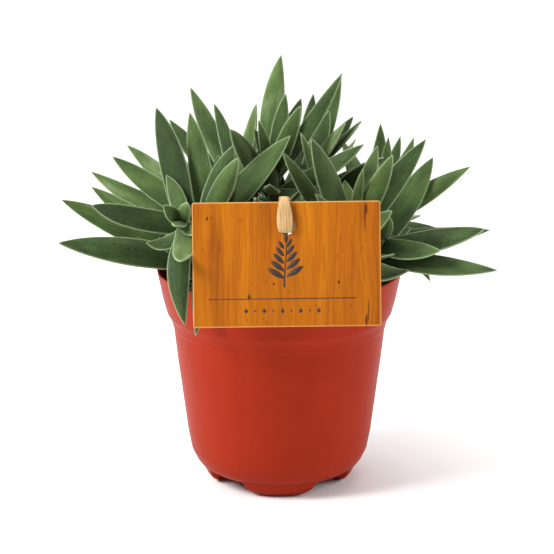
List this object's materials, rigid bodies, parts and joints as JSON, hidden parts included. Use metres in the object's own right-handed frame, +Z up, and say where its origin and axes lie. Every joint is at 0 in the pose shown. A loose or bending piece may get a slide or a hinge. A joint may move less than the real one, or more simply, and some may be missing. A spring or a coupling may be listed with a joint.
{
  "type": "potted succulent",
  "caption": "A bushy rosette-leaved succulent in a round tapered plastic nursery pot on low feet, filled with soil, with a plain wood-look card hung in front by a natural raffia band",
  "frame": {"origin": "under the middle of the whole object's box, at the bottom of the pot's feet", "axes": "Z up, the card faces -Y, X to the right seen from the card side"},
  "size_m": [0.209, 0.1602, 0.2081],
  "materials": {
    "pot_plastic": "satin terracotta-coloured moulded plastic",
    "soil": "damp dark peat with a few pale grains",
    "card": "printed orange-brown wood look, lightly satin, pale cut edge",
    "raffia": "dry natural raffia with fine lengthwise fibres",
    "leaf": "velvety grey-green fleshy leaf with fine pale hairs along its margins"
  },
  "bodies": {
    "root": {"pot": "pot_plastic", "soil": "soil", "label_card": "card", "raffia_band": "raffia", "shoot_front_left": "leaf", "shoot_centre_left": "leaf", "shoot_left_low": "leaf", "shoot_left_high": "leaf", "shoot_mid_left": "leaf", "shoot_centre": "leaf", "shoot_mid_right": "leaf", "shoot_right": "leaf", "shoot_far_right": "leaf", "shoot_back_right": "leaf", "shoot_back_left": "leaf", "shoot_back_mid": "leaf", "shoot_back_end": "leaf", "shoot_front_low": "leaf", "shoot_front_inner": "leaf", "shoot_inner_left": "leaf", "shoot_inner_right": "leaf"}
  },
  "joints": []
}
